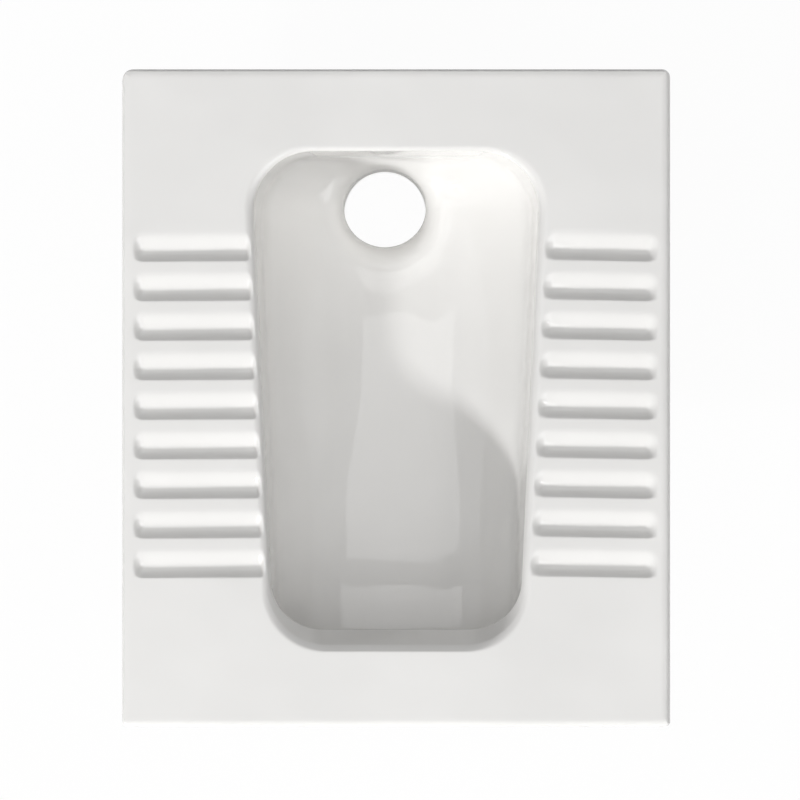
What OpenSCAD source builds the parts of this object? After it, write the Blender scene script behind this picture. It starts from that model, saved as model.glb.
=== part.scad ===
// Squat toilet: a one-piece vitreous china floor pan with grooved foot treads, a tapered basin
// that falls to an outlet near the rear end, and a rolled front lip that hides the flush inlet.
// Millimetres. +Z is up, +Y points to the outlet end, +X is to the right when seen from above
// with the outlet end at the top. The origin lies under the middle of the deck, level with the
// end of the outlet spigot.

/* [Deck] */
// Width of the deck across both foot treads
deck_w = 500; // [470:5:560]
// Length of the deck from the front end to the outlet end
deck_l = 600; // [580:5:660]
// Height of the deck's face above the end of the outlet spigot
deck_h = 215; // [205:5:240]
// Thickness of the deck
deck_t = 14; // [12:1:16]
// Radius of the deck's rolled edge and of its corners in plan
edge_r = 8; // [5:1:11]
// Height of the skirt round the deck
skirt_h = 40; // [32:2:44]
// Thickness of the skirt
skirt_t = 12; // [9:1:14]

/* [Basin] */
// Width of the basin's mouth at its rear end, where the roll starts
mouth_rear_w = 282; // [250:2:290]
// Width of the basin's mouth at its front end, where the roll starts
mouth_front_w = 240; // [210:2:250]
// Deck left between the basin's mouth and the rear edge
rear_land = 70.5; // [66:0.5:85]
// Deck left between the basin's mouth and the front edge
front_land = 68; // [66:1:76]
// Corner radius of the mouth at the rear end
rear_corner_r = 58; // [45:1:70]
// Corner radius of the mouth at the front end
front_corner_r = 59; // [50:1:65]
// Depth of the basin's floor at the outlet
outlet_depth = 150; // [140:2:156]
// Depth of the basin's floor at the front end
front_depth = 124; // [116:2:134]
// Thickness of the china round the basin
wall_t = 12; // [9:1:14]
// Radius of the roll along the sides of the mouth
roll_r = 9; // [5:0.5:10]
// Radius of the roll along the rear of the mouth
rear_roll_r = 4.5; // [2:0.5:6]
// How far the walls lean in from the roll to their foot
wall_draft = 3.5; // [1:0.5:6]
// Part of the depth that the side walls fall before the dished floor starts
side_wall_share = 0.69; // [0.55:0.01:0.76]
// Part of the depth that the end walls fall before they turn to the floor
end_wall_share = 0.8; // [0.76:0.01:0.84]
// Width of the floor's flat spine at the front
spine_w = 52; // [40:2:64]
// How far the dished floor reaches back from the mouth's front end to the spine
front_reach = 62; // [50:1:75]
// How far the dished floor reaches forward from the mouth's rear end to the spine
rear_reach = 50; // [40:1:56]

/* [Front lip] */
// How far the front lip reaches back over the basin
lip_run = 20; // [16:1:24]
// How far the middle of the lip's nose lies below the deck's face
lip_drop = 24; // [20:1:28]
// Thickness of the lip
lip_t = 11; // [8:1:12]
// How far the end wall under the lip lies in front of the mouth
undercut = 4; // [2:1:6]

/* [Outlet] */
// Bore of the outlet spigot
outlet_bore = 79; // [70:1:86]
// Outer diameter of the outlet spigot
spigot_d = 101; // [98:1:108]
// Diameter of the throat where the basin's floor runs into it
throat_d = 90; // [88:1:94]
// Radius of the fillet between floor and throat
throat_fillet = 12; // [8:1:14]
// How far the outlet lies to the side of the centre line
outlet_x = -11; // [-20:1:20]
// Distance from the mouth's rear end to the outlet's axis
outlet_rear = 49.5; // [45:0.5:56]

/* [Treads] */
// Number of grooves in each foot tread
groove_count = 9; // [5:1:9]
// Distance from one groove to the next
groove_pitch = 36; // [32:1:38]
// Length of a groove's gentle rear slope
groove_rear_run = 14; // [10:1:16]
// Length of a groove's steep front slope
groove_front_run = 11; // [8:1:12]
// Depth of a groove
groove_depth = 6.5; // [4:0.5:7.5]
// How far the middle of the treads lies in front of the middle of the deck
tread_shift = 9; // [0:1:16]
// Deck left between the grooves' outer ends and the side edge
tread_land = 11; // [11:1:20]
// Deck left between the grooves' inner ends and the mouth
mouth_land = 1; // [0.5:0.5:4]

/* [Underside] */
// Thickness of the stiffening ribs and foot webs
rib_t = 12; // [8:1:14]
// Distance between the side ribs
rib_pitch = 138; // [110:2:150]
// Distance between the two foot webs under the basin
web_gap = 110; // [90:5:130]
// Length of the foot webs at the floor
web_l = 200; // [140:10:220]

/* [Flush inlet] */
// Depth of the flush inlet's axis below the deck's face
inlet_depth = 65; // [63:1:67]
// Outer diameter of the flush pipe that the inlet takes
flush_pipe_d = 28; // [26:1:30]
// Depth of the spot face that the inner washer lies on
spot_depth = 0.5; // [0.3:0.1:1]
// How far the inlet's boss stands out from the basin's outside
boss_rise = 3; // [2:0.5:3.5]
// Depth of the flush pipe's seat in the spreader's tail
pipe_depth = 20; // [16:1:20]
// Width of the shoulder that stops the flush pipe
pipe_stop = 2; // [1:0.5:3]
// Wall of the spreader's threaded tail
tail_wall = 4; // [3:0.5:4.5]
// Diameter of the spreader's flange and of both washers
flange_d = 54; // [52:1:56]
// Thickness of the spreader's flange
flange_t = 3.5; // [3:0.5:4]
// Diameter of the spreader's hood
hood_d = 44; // [42:1:48]
// Length of the spreader's hood
hood_l = 9; // [7:0.5:10]
// Wall of the spreader's hood
hood_t = 2.5; // [2:0.5:3]
// Thickness of the rubber washers
washer_t = 3; // [2:0.5:3.5]
// Thickness of the backnut
backnut_t = 8.5; // [6:0.5:9]
// Size across the flats of both nuts
nut_flats = 46; // [44:1:50]
// Length of thread that the union nut grips
union_grip = 10; // [8:0.5:11]
// Thickness of the union nut's shoulder
union_shoulder = 4; // [3:0.5:5]
// Length of the flush pipe's cone seal
pipe_seal_l = 6; // [5:0.5:7]

/* [Outlet seal] */
// Depth of the seat on the spigot that the seal snaps into
seat_depth = 1; // [0.5:0.5:1.5]
// Thickness of the seal's sleeve
seal_t = 3.5; // [2.5:0.5:5]
// Height of the seal
seal_h = 18; // [14:1:20]
// How far each sealing lip stands out from the sleeve
seal_lip = 4; // [2:0.5:5]

/* [Hidden] */
$fn = 64;

// Gap round a part that slides over another, and overlap of joined or cut shapes
fit = 0.3;
lap = 1;

function lerp(a, b, t) = a + (b - a) * t;
function smooth(t) = t * t * (3 - 2 * t);
function sum(list) = [for (item = list) 1] * list;
function middle(ring) = [for (axis = [0:2]) sum([for (p = ring) p[axis]]) / len(ring)];

// Points of an arc about [x, y], from angle a to angle b in n steps
function arc(x, y, r, a, b, n) = [
    for (i = [0:n]) let (t = lerp(a, b, i / n)) [x + r * cos(t), y + r * sin(t)]
];

// Mouth of the basin: its ends, the taper of its sides and its half width at a place along Y
mouth_rear_y = deck_l / 2 - rear_land;
mouth_front_y = -deck_l / 2 + front_land;
taper = atan((mouth_rear_w - mouth_front_w) / 2 / (mouth_rear_y - mouth_front_y));
function mouth_half(y) = mouth_front_w / 2 + (y - mouth_front_y) * tan(taper);

// The floor falls evenly from the front end to the outlet
outlet_y = mouth_rear_y - outlet_rear;
function floor_depth(y) = lerp(front_depth, outlet_depth, (y - mouth_front_y) / (outlet_y - mouth_front_y));

// Levels
deck_middle_z = deck_h - deck_t / 2;
skirt_z = deck_h - skirt_h;
outlet_floor_z = deck_h - outlet_depth;

// Solid through a stack of rings with equal numbers of points, each ring anticlockwise seen
// from above and the rings running downwards; a fan closes each end
module loft(rings) {
    n = len(rings[0]);
    last = len(rings) - 1;
    hub = len(rings) * n;
    walls = [
        for (k = [0:last - 1], i = [0:n - 1])
            let (a = k * n + i, b = k * n + (i + 1) % n) each [[a, b, b + n], [a, b + n, a + n]]
    ];
    ends = [
        for (i = [0:n - 1])
            let (j = (i + 1) % n) each [[hub, j, i], [hub + 1, last * n + i, last * n + j]]
    ];
    polyhedron(
        points = concat([for (ring = rings) each ring], [middle(rings[0]), middle(rings[last])]),
        faces = concat(walls, ends), convexity = 8
    );
}

// The basin is lofted through rings. Each ring takes one station from three profiles, of the
// sides, the front and the rear. A station is [inset from the mouth's edge, drop below the
// deck, share of the depth that is left, extra drop].
corner_steps = 7;
side_steps = 5;
function depth(station, y) =
    station[1] + station[2] * (floor_depth(y) - station[1]) + station[3];

// Point on a corner's arc about [x, y] at angle a; the depth passes from one profile to the next
function corner_point(x, y, r, a, from, to, t) =
    let (py = y + r * sin(a)) [x + r * cos(a), py, deck_h - lerp(depth(from, py), depth(to, py), smooth(t))];
function side_point(a, b, t, side) =
    let (p = lerp(a, b, t)) [p[0], p[1], deck_h - depth(side, p[1])];
function basin_ring(side, front, rear, front_r, rear_r) =
    let (
        y0 = mouth_front_y + front[0],
        y1 = mouth_rear_y - rear[0],
        x0 = mouth_half(y0) - side[0] / cos(taper) + front_r * (tan(taper) - 1 / cos(taper)),
        x1 = mouth_half(y1) - side[0] / cos(taper) - rear_r * (tan(taper) + 1 / cos(taper)),
        steps = [for (i = [0:corner_steps]) i / corner_steps],
        front_arc = [for (t = steps)
            corner_point(x0, y0 + front_r, front_r, lerp(-90, -taper, t), front, side, t)],
        rear_arc = [for (t = steps)
            corner_point(x1, y1 - rear_r, rear_r, lerp(-taper, 90, t), side, rear, t)],
        along = [for (i = [1:side_steps - 1])
            side_point(front_arc[corner_steps], rear_arc[0], i / side_steps, side)],
        right = concat(front_arc, along, rear_arc)
    )
    concat(right, [for (i = [len(right) - 1:-1:0]) [-right[i][0], right[i][1], right[i][2]]]);

// Stations: the roll or the lip's face, the stretch that the lip's nose takes, the foot of the
// wall, and the dished floor, which is a parabola from the wall's foot to the flat spine
roll_steps = 5;
nose_steps = 3;
floor_steps = 7;
nose_share = 0.2;
function roll_stations(r) = [
    for (i = [0:roll_steps]) let (a = 90 * i / roll_steps) [r * sin(a), r * (1 - cos(a)), 0, 0]
];
function wall_stations(r) = [
    for (i = [1:nose_steps])
        let (share = nose_share * i / nose_steps) [r + wall_draft * share, r, share, 0]
];
function floor_stations(inset, share, reach) = [
    for (i = [0:floor_steps])
        let (t = i / floor_steps) [lerp(inset, reach, t), 0, lerp(share, 1, 1 - pow(1 - t, 2)), 0]
];

// Section of the front lip: a sheet that bends down over the basin and ends in a round nose.
// Its underside runs back up to the end wall.
bend_r = lip_t / 2;
nose_x = lip_run - bend_r;
lip_slope = atan((lip_drop - bend_r) / nose_x);
function nose_point(a) = [nose_x + bend_r * cos(a), lip_drop + bend_r * sin(a), 0, 0];
nose_angles = [lip_slope - 90, 0, 60, 90 + lip_slope];
under_end = nose_point(nose_angles[3]);
under_run = (under_end[1] - deck_t) / tan(lip_slope);
lip_stations = concat(
    [for (a = [0, lip_slope / 2, lip_slope]) [bend_r * sin(a), bend_r * (1 - cos(a)), 0, 0]],
    [for (a = nose_angles) nose_point(a)],
    [[under_end[0] - under_run, deck_t, 0, 0], [-undercut, deck_t + undercut, 0, 0]]
);

side_foot = roll_r + wall_draft;
rear_foot = rear_roll_r + wall_draft;
side_profile = concat(
    roll_stations(roll_r), wall_stations(roll_r),
    floor_stations(side_foot, side_wall_share, mouth_front_w / 2 - spine_w / 2)
);
rear_profile = concat(
    roll_stations(rear_roll_r), wall_stations(rear_roll_r),
    floor_stations(rear_foot, end_wall_share, rear_reach)
);
front_profile = concat(lip_stations, floor_stations(-undercut, end_wall_share, front_reach));
wall_foot = roll_steps + nose_steps + 1;

// Corners tighten with the inset, but never below the spine's own round end
tightening = 0.45;
function corner_r(mouth_r, station) = max(mouth_r - station[0] * tightening, spine_w / 2 - lap);

module basin_cavity() {
    rings = [
        for (k = [0:len(side_profile) - 1]) basin_ring(
            side_profile[k], front_profile[k], rear_profile[k],
            corner_r(front_corner_r, front_profile[k]), corner_r(rear_corner_r, rear_profile[k])
        )
    ];
    mouth = [for (p = rings[0]) [p[0], p[1], deck_h + lap]];
    loft(concat([mouth], rings));
}

// Outside of the basin: a wall's thickness outwards at the walls, turning to downwards below.
// Its first ring is a collar inside the deck.
wall_turn = 20;
function outside(station, turn) = [
    station[0] - wall_t * cos(turn), station[1], station[2], wall_t * sin(turn)
];
function collar(inset) = [inset - wall_t, deck_t / 2, 0, 0];
module basin_outside() {
    rings = [
        for (k = [wall_foot:len(side_profile) - 1])
            let (turn = lerp(wall_turn, 90, (k - wall_foot) / floor_steps)) basin_ring(
                outside(side_profile[k], turn), outside(front_profile[k], turn),
                outside(rear_profile[k], turn),
                corner_r(front_corner_r, front_profile[k]) + wall_t * cos(turn),
                corner_r(rear_corner_r, rear_profile[k]) + wall_t * cos(turn)
            )
    ];
    top = basin_ring(
        collar(roll_r), collar(-undercut), collar(rear_roll_r),
        front_corner_r + wall_t, rear_corner_r + wall_t
    );
    loft(concat([top], rings));
}

// Block of the deck: three crossed sections give the rolled edges and round corners
edge_steps = 5;
function round_rect(w, l, r) = concat(
    arc(w / 2 - r, -l / 2 + r, r, -90, 0, edge_steps), arc(w / 2 - r, l / 2 - r, r, 0, 90, edge_steps),
    arc(-w / 2 + r, l / 2 - r, r, 90, 180, edge_steps), arc(-w / 2 + r, -l / 2 + r, r, 180, 270, edge_steps)
);
function deck_section(w) = concat(
    [[-w / 2, skirt_z], [w / 2, skirt_z]],
    arc(w / 2 - edge_r, deck_h - edge_r, edge_r, 0, 90, edge_steps),
    arc(-w / 2 + edge_r, deck_h - edge_r, edge_r, 90, 180, edge_steps)
);
module across_x(w) {
    translate([-w / 2, 0, 0]) rotate([90, 0, 90]) linear_extrude(w) children();
}
module across_y(l) {
    translate([0, l / 2, 0]) rotate([90, 0, 0]) linear_extrude(l) children();
}
module deck_block() {
    intersection() {
        across_y(deck_l) polygon(deck_section(deck_w));
        across_x(deck_w) polygon(deck_section(deck_l));
        translate([0, 0, skirt_z - lap]) linear_extrude(skirt_h + 2 * lap)
            polygon(round_rect(deck_w, deck_l, edge_r));
    }
}
module deck_hollow() {
    translate([0, 0, skirt_z - lap]) linear_extrude(skirt_h + lap - deck_t)
        polygon(round_rect(deck_w - 2 * skirt_t, deck_l - 2 * skirt_t, edge_r));
}

// One groove between x_in and x_out. Across, it is gentle on its rear side and steep on its
// front side; it rises shortly at the mouth, along the mouth's taper, and more slowly at its
// outer end.
groove_in_rise = 4;
groove_out_rise = 9;
groove_front_bow = 1.6;
groove_end_shrink = 0.8;
function groove_section(x, part, slant) =
    let (
        deep = groove_depth * part,
        rear_run = groove_rear_run * lerp(groove_end_shrink, 1, part),
        front_run = groove_front_run * lerp(groove_end_shrink, 1, part),
        rear = [for (t = [0:0.2:1]) [rear_run * (1 - t), -deep * (1 - cos(180 * t)) / 2]],
        front = [for (t = [0.25:0.25:1]) [-front_run * t, -deep * (1 - pow(t, groove_front_bow))]],
        rise = part > 0 ? 0 : lap / 2
    )
    [
        for (p = concat([[rear_run + lap, lap]], rear, front, [[-front_run - lap, lap]]))
            [x + p[0] * tan(slant), p[0], deck_h + p[1] + rise]
    ];
module groove(x_in, x_out) {
    loft([
        groove_section(x_in, 0, taper), groove_section(x_in + groove_in_rise / 3, 0.65, taper),
        groove_section(x_in + groove_in_rise, 1, taper), groove_section(x_out - groove_out_rise, 1, 0),
        groove_section(x_out - groove_out_rise / 2, 0.7, 0),
        groove_section(x_out - groove_out_rise / 6, 0.25, 0), groove_section(x_out, 0, 0)
    ]);
}

function groove_y(i) = ((groove_count - 1) / 2 - i) * groove_pitch - tread_shift;
module treads() {
    for (i = [0:groove_count - 1], side = [0, 1]) {
        mirror([side, 0, 0]) translate([0, groove_y(i), 0])
            groove(mouth_half(groove_y(i)) + mouth_land, deck_w / 2 - tread_land);
    }
}

// Ribs from the basin to the skirt, at both sides and at the rear end. from and to are the
// distances from the middle of the pan to the basin's wall and to the skirt's middle.
function rib_section(from, to) = [
    [from, deck_middle_z], [from, skirt_z - skirt_h / 2], [from + wall_t, skirt_z + skirt_t / 2],
    [to, skirt_z + skirt_t / 2], [to, deck_middle_z]
];
module ribs() {
    for (i = [-1:1], side = [0, 1]) {
        mirror([side, 0, 0]) translate([0, i * rib_pitch, 0]) across_y(rib_t)
            polygon(rib_section(mouth_half(i * rib_pitch) - roll_r, deck_w / 2 - skirt_t / 2));
    }
    for (side = [-1, 1]) {
        translate([side * mouth_rear_w / 4, 0, 0]) across_x(rib_t)
            polygon(rib_section(mouth_rear_y - rear_roll_r, deck_l / 2 - skirt_t / 2));
    }
}

// Foot webs: they carry the front of the basin level with the end of the spigot
module foot_webs() {
    front_y = mouth_front_y + front_reach;
    rear_y = front_y + web_l;
    splay = 2 * rib_t;
    for (side = [-1, 1]) {
        translate([side * web_gap / 2, 0, 0]) across_x(rib_t) polygon([
            [front_y, 0], [rear_y, 0], [rear_y + splay, deck_h - floor_depth(rear_y + splay)],
            [front_y - splay, deck_h - floor_depth(front_y - splay)]
        ]);
    }
}

// Outlet: outer form of the spigot, with a shallow seat for the seal, flared into the basin
spigot_top_z = outlet_floor_z - 2 * wall_t;
seal_z = spigot_top_z - seal_h - lap;
seat_r = spigot_d / 2 - seat_depth;
throat_r = throat_d / 2;
flare_r = throat_r + throat_fillet;
throat_z = outlet_floor_z - throat_fillet;
throat_cone_h = 14;
bevel = 32;
module before_rear(y) {
    intersection() {
        children();
        translate([-deck_w / 2, -deck_l / 2, -lap]) cube([deck_w, deck_l / 2 + y, deck_h]);
    }
}
module outlet_outside() {
    outer_r = flare_r + wall_t * 0.75;
    flare_z = spigot_top_z + outer_r - seat_r;
    before_rear(mouth_rear_y - rear_foot + wall_t * cos(wall_turn))
    translate([outlet_x, outlet_y, 0]) rotate_extrude() polygon(concat(
        [[0, 0], [spigot_d / 2, 0], [spigot_d / 2, seal_z - lap], [seat_r, seal_z - lap]],
        arc(outer_r, spigot_top_z, outer_r - seat_r, 180, 90, 4),
        [[outer_r + bevel, flare_z + bevel], [outer_r + bevel, outlet_floor_z + bevel]],
        [[0, outlet_floor_z + bevel]]
    ));
}

// Throat: a short cone, a round fillet and a wide bevel into the dished floor. It stops at the
// foot of the rear wall.
module throat() {
    before_rear(mouth_rear_y - rear_foot)
    translate([outlet_x, outlet_y, 0]) rotate_extrude() polygon(concat(
        [[0, throat_z - throat_cone_h - lap], [outlet_bore / 2, throat_z - throat_cone_h]],
        arc(flare_r, throat_z, throat_fillet, 180, 90, 5),
        [[flare_r + bevel, outlet_floor_z + bevel], [0, outlet_floor_z + bevel]]
    ));
}
module outlet_bore_cut() {
    translate([outlet_x, outlet_y, -lap]) cylinder(h = outlet_floor_z + lap, d = outlet_bore);
}

// Flush inlet, stacked along Y from the spot face on the end wall: washer and flange inside,
// boss, washer, backnut and union nut outside
inlet_z = deck_h - inlet_depth;
end_wall_y = mouth_front_y - undercut;
seat_y = end_wall_y - spot_depth;
flange_y = seat_y + washer_t;
hood_y = flange_y + flange_t;
boss_y = end_wall_y - wall_t - boss_rise;
outer_washer_y = boss_y - washer_t;
backnut_y = outer_washer_y - backnut_t;
tail_end_y = backnut_y - fit - union_grip;
union_y = tail_end_y - pipe_seal_l - union_shoulder;
tail_bore = flush_pipe_d + 2 * fit;
tail_d = tail_bore + 2 * tail_wall;
pipe_way = flush_pipe_d + 4 * fit;

// Children that stand on the XY plane are laid along +Y, with their foot at y
module along_y(y) {
    translate([0, y, inlet_z]) rotate([-90, 0, 0]) children();
}
module inlet_boss() {
    along_y(boss_y) cylinder(h = boss_rise + wall_t / 2, d = flange_d + 2 * wall_t);
}
module inlet_cuts() {
    along_y(boss_y - lap) cylinder(h = boss_rise + wall_t + 2 * lap, d = tail_d + 4 * fit);
    along_y(seat_y) cylinder(h = washer_t + flange_t, d = flange_d + 4 * fit);
}

module pan() {
    color("whitesmoke") difference() {
        union() {
            difference() {
                deck_block();
                deck_hollow();
            }
            basin_outside();
            outlet_outside();
            inlet_boss();
            ribs();
            foot_webs();
        }
        basin_cavity();
        throat();
        outlet_bore_cut();
        inlet_cuts();
        treads();
    }
}

// Sleeve in the spigot's seat with sealing lips that lean back from the drain socket
seal_lips = 3;
module outlet_seal() {
    sleeve_in = seat_r + fit;
    sleeve_out = sleeve_in + seal_t;
    pitch = seal_h / seal_lips;
    color("dimgray") translate([outlet_x, outlet_y, seal_z]) rotate_extrude() polygon(concat(
        [[sleeve_in, 0], [sleeve_out, 0]],
        [for (i = [0:seal_lips - 1]) each [
            [sleeve_out, (i + 0.2) * pitch], [sleeve_out + seal_lip, (i + 0.7) * pitch],
            [sleeve_out + seal_lip, (i + 0.85) * pitch], [sleeve_out, (i + 0.95) * pitch]
        ]],
        [[sleeve_out, seal_h], [sleeve_in, seal_h]]
    ));
}

// Spreader: flange, threaded tail and a hood whose open lower side spreads the flush water
module flush_spreader() {
    hood_r = hood_d / 2;
    color("silver") difference() {
        union() {
            along_y(flange_y) cylinder(h = flange_t, d = flange_d);
            along_y(tail_end_y) cylinder(h = flange_y - tail_end_y + lap, d = tail_d);
            along_y(hood_y - lap) rotate_extrude() polygon([
                [0, 0], [hood_r, 0], [hood_r, hood_l + lap - hood_t], [hood_r - hood_t, hood_l + lap],
                [0, hood_l + lap]
            ]);
        }
        along_y(tail_end_y - lap) cylinder(h = pipe_depth + lap, d = tail_bore);
        along_y(tail_end_y) cylinder(h = hood_y - tail_end_y + lap, d = tail_bore - 2 * pipe_stop);
        along_y(hood_y) cylinder(h = hood_l - hood_t, d = hood_d - 2 * hood_t);
        translate([-hood_d, hood_y, inlet_z - hood_d]) cube([2 * hood_d, hood_l - hood_t, 1.2 * hood_d]);
    }
}

// Washers and nuts pass over the tail with room for its thread
module tail_hole(h) {
    translate([0, 0, -lap]) cylinder(h = h + 2 * lap, d = tail_d + 2 * fit);
}
module washer() {
    difference() {
        cylinder(h = washer_t, d = flange_d);
        tail_hole(washer_t);
    }
}
module hexagon(flats, h) {
    cylinder(h = h, d = flats / cos(30), $fn = 6);
}
module inlet_inner_washer() {
    color("dimgray") along_y(seat_y) washer();
}
module inlet_outer_washer() {
    color("dimgray") along_y(outer_washer_y) washer();
}
module inlet_backnut() {
    color("gainsboro") along_y(backnut_y) difference() {
        hexagon(nut_flats, backnut_t);
        tail_hole(backnut_t);
    }
}

// Cone ring between the tail's end and the union nut's shoulder, loose as before the nut is tight
module flush_pipe_seal() {
    seal_r = tail_d / 2 - fit;
    color("dimgray") along_y(tail_end_y - pipe_seal_l) rotate_extrude() polygon([
        [pipe_way / 2, 0], [seal_r - lap, 0], [seal_r, pipe_seal_l / 3],
        [seal_r, pipe_seal_l], [pipe_way / 2, pipe_seal_l]
    ]);
}
module inlet_union_nut() {
    length = backnut_y - fit - union_y;
    color("gainsboro") along_y(union_y) difference() {
        hexagon(nut_flats, length);
        translate([0, 0, -lap]) cylinder(h = length, d = pipe_way);
        translate([0, 0, union_shoulder]) cylinder(h = length, d = tail_d + 2 * fit);
    }
}

pan();
outlet_seal();
flush_spreader();
inlet_inner_washer();
inlet_outer_washer();
inlet_backnut();
flush_pipe_seal();
inlet_union_nut();
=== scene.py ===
import math

import bmesh
import bpy
import numpy as np
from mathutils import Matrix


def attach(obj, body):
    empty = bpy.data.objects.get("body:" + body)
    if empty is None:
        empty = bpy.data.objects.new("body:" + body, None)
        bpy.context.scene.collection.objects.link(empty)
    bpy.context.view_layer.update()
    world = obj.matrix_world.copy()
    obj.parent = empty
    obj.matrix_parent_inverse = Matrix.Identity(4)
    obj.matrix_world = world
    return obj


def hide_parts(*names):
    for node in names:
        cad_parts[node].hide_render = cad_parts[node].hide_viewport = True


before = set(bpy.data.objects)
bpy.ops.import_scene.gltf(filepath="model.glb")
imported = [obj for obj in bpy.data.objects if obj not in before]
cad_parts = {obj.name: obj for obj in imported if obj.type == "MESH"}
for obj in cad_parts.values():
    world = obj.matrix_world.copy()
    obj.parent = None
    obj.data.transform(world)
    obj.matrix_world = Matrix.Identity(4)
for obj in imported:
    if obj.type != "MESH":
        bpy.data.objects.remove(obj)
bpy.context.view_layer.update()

mm = 0.001


def clearSelection():
    bpy.ops.object.select_all(action="DESELECT")


def linearColour(hexColour):
    # sRGB hex to Blender's linear colour
    channels = [int(hexColour[i:i + 2], 16) / 255 for i in (1, 3, 5)]
    linear = [c / 12.92 if c <= 0.04045 else ((c + 0.055) / 1.055) ** 2.4 for c in channels]
    return (*linear, 1.0)


def addNode(tree, kind, inputs=None, ramp=None, **settings):
    # one shader node with its settings, its constant inputs and its links
    node = tree.nodes.new(kind)
    for key, value in settings.items():
        setattr(node, key, value)
    for key, value in (inputs or {}).items():
        if isinstance(value, bpy.types.NodeSocket):
            tree.links.new(value, node.inputs[key])
        else:
            node.inputs[key].default_value = value
    if ramp:
        stops = node.color_ramp.elements
        while len(stops) < len(ramp):
            stops.new(0.5)
        for stop, (place, hexColour) in zip(stops, ramp):
            stop.position = place
            stop.color = linearColour(hexColour)
    return node


def newMaterial(name):
    material = bpy.data.materials.new(name)
    material.use_nodes = True
    material.node_tree.nodes.clear()
    return material, material.node_tree


def smoothStep(t):
    t = np.clip(t, 0, 1)
    return t * t * (3 - 2 * t)


def mix(a, b, t):
    return a + (b - a) * t


def extrudeRings(name, rings, ends="loop"):
    # A circle is extruded ring by ring, and each new ring is laid where the list says.
    # The ends meet in a loop, or each is filled with a face.
    clearSelection()
    bpy.ops.mesh.primitive_circle_add(vertices=len(rings[0]), radius=0.1, location=(0, 0, 0))
    piece = bpy.context.object
    piece.name = name
    bpy.ops.object.mode_set(mode="EDIT")
    bpy.ops.mesh.select_all(action="SELECT")
    place = {}
    if ends == "loop":
        rings = list(rings) + [rings[0]]
    for count, ring in enumerate(rings):
        if count:
            bpy.ops.mesh.extrude_edges_move()
        mesh = bmesh.from_edit_mesh(piece.data)
        mesh.verts.index_update()
        fresh = {}
        points = (np.asarray(ring) * mm).tolist()
        for vert in [v for v in mesh.verts if v.select]:
            if count:
                spot = next(place[e.other_vert(vert).index] for e in vert.link_edges
                            if e.other_vert(vert).index in place)
            else:
                spot = vert.index
            vert.co = points[spot]
            fresh[vert.index] = spot
        place = fresh
        bmesh.update_edit_mesh(piece.data, loop_triangles=False, destructive=False)
    if ends == "fill":
        bpy.ops.mesh.select_all(action="DESELECT")
        bpy.ops.mesh.select_mode(type="EDGE")
        bpy.ops.mesh.select_non_manifold()
        bpy.ops.mesh.edge_face_add()
    bpy.ops.mesh.select_mode(type="VERT")
    bpy.ops.mesh.select_all(action="SELECT")
    bpy.ops.mesh.remove_doubles(threshold=0.001 * mm)
    bpy.ops.mesh.normals_make_consistent(inside=False)
    bpy.ops.object.mode_set(mode="OBJECT")
    bpy.ops.object.shade_smooth()
    return piece


# the china pan, in mm; heights count from the spigot's end
pan = {
    "deckW": 500, "deckL": 600, "deckTop": 215, "deckT": 14, "skirtH": 40, "skirtT": 12, "edgeR": 8,
    "edgeReach": {"front": 7.5, "rear": 3, "left": 3.5, "right": 5.5},
    "planCornerR": {"frontRight": 5, "rearRight": 8, "frontLeft": 6, "rearLeft": 11},
    "mouthRearW": 275, "mouthFrontW": 233, "rearLand": 73, "frontLand": 68,
    "rearCornerR": 55, "frontCornerR": 57,
    "outletDepth": 150, "frontDepth": 124, "wallT": 12, "sumpDip": 5, "sumpReach": 45,
    "rollR": 9, "rollOutset": 4, "rearRollR": 4.5, "rearRollOutset": 2.5, "draft": 3.5,
    "rearDraft": -1.5, "rearHullShift": 4,
    "sideShare": 0.69, "endShare": 0.8,
    "sideReach": (80, 106), "reachSpan": (-106, 16), "frontReach": 106, "rearReach": 48,
    "lipRun": 20, "lipDrop": 24, "lipT": 11, "lipBendR": 3.5, "undercut": 4,
    "lipFirstSlope": 34, "lipFirstRun": 7,
    "outletX": -11, "outletRear": 47, "boreR": 39.5, "boreTopZ": 8,
    "spigotR": 50.5, "seatR": 49.5, "seatZ": 21, "seatTopZ": 30,
    "flareCentre": (-11.5, 178), "flareR": 57, "jointRidge": 0.4, "neckZ": 37,
    "neckHalf": (39.2, 37.2), "neckCentre": (-11, 182.2),
}
grooves = {
    "count": 9, "pitch": 36, "shift": 9, "rearRun": 14.6, "frontRun": 10.8, "endShrink": 0.8,
    "outerX": 239, "outerRise": {"left": 8, "right": 12},
    "innerGap": {"left": -0.8, "right": 1.2}, "innerRise": {"left": 5, "right": 13},
    "innerDepth": {"left": 6.4, "right": 6.3}, "outerDepth": {"left": 5.5, "right": 6.3},
    "slant": {"left": 0.6, "right": 2.0},
}

mouthRearY = pan["deckL"] / 2 - pan["rearLand"]
mouthFrontY = -pan["deckL"] / 2 + pan["frontLand"]
taperTan = (pan["mouthRearW"] - pan["mouthFrontW"]) / 2 / (mouthRearY - mouthFrontY)
taper = math.atan(taperTan)
taperCos = math.cos(taper)
outletY = mouthRearY - pan["outletRear"]
boreCentre = np.array([pan["outletX"], outletY])
flareCentre = np.array(pan["flareCentre"])
neckCentre = np.array(pan["neckCentre"])
sideFoot = pan["rollR"] - pan["rollOutset"] + pan["draft"]
rearFoot = pan["rearRollR"] - pan["rearRollOutset"] + pan["rearDraft"]
rearHullFoot = rearFoot + pan["rearHullShift"] - pan["wallT"]
cornerTightening = 0.45

frontEdgeSteps = 12
rearEdgeSteps = 28
arcSteps = 26
# places across one groove, from its deepest line: front rim, front wall, bottom, rear slope, land
grooveStations = [-18, -14, -11.8, -10.8, -10, -8.6, -6.6, -4.2, -2, 0, 2, 4, 6.2, 8.6, 10.6, 12.4, 14.2, 16]


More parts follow.
